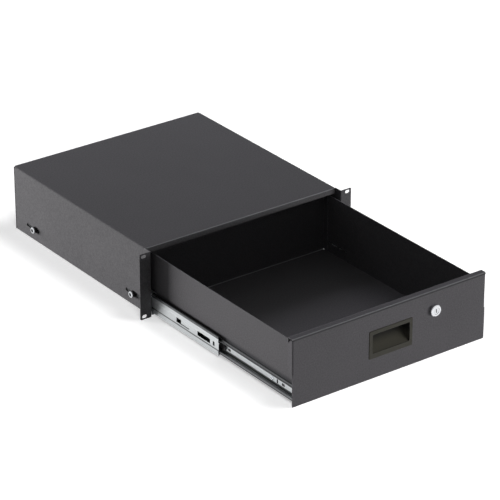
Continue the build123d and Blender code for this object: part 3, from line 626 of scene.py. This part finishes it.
# Ball cages and balls
# The balls run between the rails in pressed steel strips, which keep them apart. The strips are dull and
# the balls are ground and polished.
cage_strip = plain_metal(
    "cage_strip", dark=(0.36, 0.37, 0.38), light=(0.5, 0.51, 0.52), roughness_low=0.3, roughness_high=0.5
)
ball_steel = plain_metal(
    "ball_steel", dark=(0.62, 0.62, 0.64), light=(0.72, 0.72, 0.74), roughness_low=0.06, roughness_high=0.12
)
for side in ("left", "right"):
    dress(f"outer_cage_{side}", cage_strip)
    dress(f"inner_cage_{side}", cage_strip)
dress("outer_balls", ball_steel)
dress("inner_balls", ball_steel)

# Rail bolts and spacers
# Round-head socket bolts, zinc plated, clamp each outer rail through the slots in the case's sides.
# Their sockets are filled with painted shade. A turned black nylon spacer stands under each head.
socket_reach = 0.0031


def socket_bolts(side):
    """The plating of one side's two bolts, with painted shade in their sockets. The bolts stand one behind
    the other.
    """
    material = plain_metal(
        f"rail_bolt_zinc_{side}", dark=(0.60, 0.62, 0.64), light=(0.80, 0.82, 0.84), roughness_low=0.16,
        roughness_high=0.3,
    )
    tree = material.node_tree
    low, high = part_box(f"rail_bolts_{side}")
    head_half = (high.z - low.z) / 2
    half_apart = (high.y - low.y) / 2 - head_half
    place = split_parts(tree, object_place(tree))
    from_middle = math_node(tree, "SUBTRACT", place["Y"], (high.y + low.y) / 2)
    along = math_node(tree, "SUBTRACT", math_node(tree, "ABSOLUTE", from_middle), half_apart)
    up = math_node(tree, "SUBTRACT", place["Z"], (high.z + low.z) / 2)
    # Painted shade in each socket.
    in_socket = math_node(tree, "LESS_THAN", length_of(tree, along, up), socket_reach)
    paint_over(material, in_socket, painted_shade_black)
    return material


def moulded_plastic(name, dark, light, roughness_low, roughness_high, grain=1400.0):
    """Moulded plastic: spark-eroded grain, a little sheen, and edges polished by touch."""
    grain_detail = 2.0
    grain_strength = 0.5
    grain_depth = 0.00002
    cloud_scale = 40.0
    cloud_detail = 2.0
    edge_radius = 0.0004
    edge_amount = 0.8
    worn_gain = 2
    specular_level = 0.25
    material, tree, shade = new_material(name)
    place = object_place(tree)
    fine = noise_node(tree, place, grain, grain_detail)
    cloud = noise_node(tree, place, cloud_scale, cloud_detail)
    edge_mark = placed_group(tree, edge_marking, radius=edge_radius, amount=edge_amount)
    edge_colour = tuple(worn_gain * part for part in light)
    body = mixed_colour(tree, cloud, dark, light)
    normal = bump(tree, fine, grain_strength, grain_depth, edge_mark.outputs["Normal"])
    wire(tree, mixed_colour(tree, edge_mark.outputs["Mask"], body, edge_colour), shade.inputs["Base Color"])
    wire(tree, value_range(tree, fine, roughness_low, roughness_high), shade.inputs["Roughness"])
    wire(tree, normal, shade.inputs["Normal"])
    shade.inputs["Specular IOR Level"].default_value = specular_level
    return material


black_nylon = moulded_plastic(
    "black_nylon", dark=(0.008, 0.008, 0.009), light=(0.02, 0.02, 0.021), roughness_low=0.35,
    roughness_high=0.5,
)
for side in ("left", "right"):
    dress(f"rail_bolts_{side}", socket_bolts(side))
    dress(f"bolt_spacers_{side}", black_nylon)

# Closing buffers
# Small blocks of moulded black rubber, pressed in at the back of the outer rails, where they stop the
# middle rails.
black_rubber = moulded_plastic(
    "black_rubber", dark=(0.012, 0.012, 0.012), light=(0.026, 0.026, 0.026), roughness_low=0.7,
    roughness_high=0.85, grain=700.0,
)
dress("closing_buffers", black_rubber)

# Drawer tray
# The tray is folded from 1.2 mm steel and coated inside and out. Its back wall is lapped inside the
# sides and spot welded. A painted highlight runs along its foot and its inner folds, and painted shade
# darkens the outer sides just above the slides.
tray_sheet = 0.0012
outer_skin = 0.0004
# The light edge colour is mostly a painted highlight, strong along the edges and the inner folds.
tray_coat = powder_coat(
    "tray_powder_coat", dark=(0.054, 0.052, 0.055), light=(0.122, 0.118, 0.124), edge_colour=(0.42, 0.42, 0.43),
    edge_radius=0.0012, edge_amount=2.2,
)
tray_tree = tray_coat.node_tree
tray_low, tray_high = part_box("drawer_tray")
# Painted shade on the outer sides just above the slides.
shade_above_slide = placed_group(tray_tree, painted_dark_line, level=0.0135, half_width=0.0012, soft_edge=0.008, strength=0.85)
tray_across = math_node(tray_tree, "ABSOLUTE", split_parts(tray_tree, object_place(tray_tree))["X"])
tray_outside = math_node(tray_tree, "GREATER_THAN", tray_across, tray_high.x - outer_skin)
outside_shade_above_slide = math_node(tray_tree, "MULTIPLY", shade_above_slide.outputs["Mask"], tray_outside)
paint_over(tray_coat, outside_shade_above_slide, painted_shade_black)
# A painted highlight along the foot of the back wall.
paint_fold_highlight(tray_coat, tray_high.y - tray_sheet, tray_low.z + tray_sheet, reach=0.0018, light=(0.5, 0.5, 0.51))
dress("drawer_tray", tray_coat)

# Inner rail screws, release levers and their rivets
# Low-head plated screws hold each inner rail to the tray. The black acetal lever on each rail frees the
# drawer from its slides when it is pressed.
bolt_zinc = plain_metal(
    "bolt_zinc", dark=(0.62, 0.64, 0.66), light=(0.82, 0.84, 0.86), roughness_low=0.16, roughness_high=0.3
)
lever_black = moulded_plastic(
    "lever_black", dark=(0.01, 0.01, 0.011), light=(0.024, 0.024, 0.025), roughness_low=0.3,
    roughness_high=0.42,
)
for side in ("left", "right"):
    dress(f"inner_rail_screws_{side}", bolt_zinc)
    dress(f"release_lever_{side}", lever_black)
    dress(f"lever_rivet_{side}", bolt_zinc)

# Front panel
# A folded front of 1.5 mm steel: skin, top return with its rear lip, and a return at each side. It hangs
# on welded studs, and its nuts sit inside the drawer. A painted highlight runs along its top fold, and a
# painted dark line of shade and reflection runs below it.
top_fold_setback = 0.0012
top_fold_drop = 0.0004
shade_line_drop = 0.0028
panel_coat = powder_coat(
    "panel_powder_coat", dark=(0.056, 0.054, 0.058), light=(0.125, 0.120, 0.128), edge_colour=(0.18, 0.18, 0.19)
)
panel_low, panel_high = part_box("front_panel")
# A painted dark line of shade and reflection below the top fold.
paint_dark_line(
    panel_coat, panel_high.z - slide_middle - shade_line_drop, half_width=0.0010, soft_edge=0.0004,
    strength=0.95,
)
# A painted highlight along the top fold.
paint_fold_highlight(
    panel_coat, panel_low.y + top_fold_setback, panel_high.z - top_fold_drop, reach=0.0016,
    light=(0.3, 0.3, 0.31),
)
dress("front_panel", panel_coat)
dress("panel_studs", bolt_zinc)
dress("panel_nuts", bolt_zinc)

# Handle
# One moulding in a warm dark plastic. It snaps into the panel's opening, and the fingers go behind the
# top edge of its frame. The scoop behind the frame is lighter with painted light, and darker under the
# top edge with painted shade.
frame_front = 0.001
shade_end = 0.038
shade_start = 0.020
scoop_lit_brown = (0.052, 0.049, 0.038)
scoop_shade_black = (0.003, 0.003, 0.003)
handle_plastic = moulded_plastic(
    "handle_plastic", dark=(0.026, 0.0245, 0.019), light=(0.038, 0.036, 0.028), roughness_low=0.5,
    roughness_high=0.62, grain=1100.0,
)
grip_low, grip_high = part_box("handle")
grip_tree = handle_plastic.node_tree
grip_place = split_parts(grip_tree, object_place(grip_tree))
in_scoop = math_node(grip_tree, "GREATER_THAN", grip_place["Y"], grip_low.y + frame_front)
near_top = soft_change(grip_tree, grip_place["Z"], grip_high.z - shade_end, grip_high.z - shade_start, 0, 1)
# Painted light over the scoop, then painted shade under the top edge.
paint_over(handle_plastic, in_scoop, scoop_lit_brown)
paint_over(handle_plastic, math_node(grip_tree, "MULTIPLY", near_top, in_scoop), scoop_shade_black)
dress("handle", handle_plastic)

# Lock
# A die-cast cam lock, chrome plated outside, with a turning plug. Its nut and washer clamp it to the
# panel, and the cam on its tail catches behind the case's top.
chrome = plain_metal(
    "chrome", dark=(0.56, 0.57, 0.59), light=(0.72, 0.73, 0.75), roughness_low=0.12, roughness_high=0.22
)
plug_chrome = plain_metal(
    "plug_chrome", dark=(0.52, 0.53, 0.55), light=(0.66, 0.67, 0.69), roughness_low=0.14, roughness_high=0.24
)
cam_zinc = plain_metal(
    "cam_zinc", dark=(0.48, 0.49, 0.5), light=(0.64, 0.65, 0.66), roughness_low=0.28, roughness_high=0.42
)
dress("lock_housing", chrome)
dress("lock_plug", plug_chrome)
for piece in ("lock_washer", "lock_nut", "lock_cam"):
    dress(piece, cam_zinc)
dress("cam_screw", bolt_zinc)
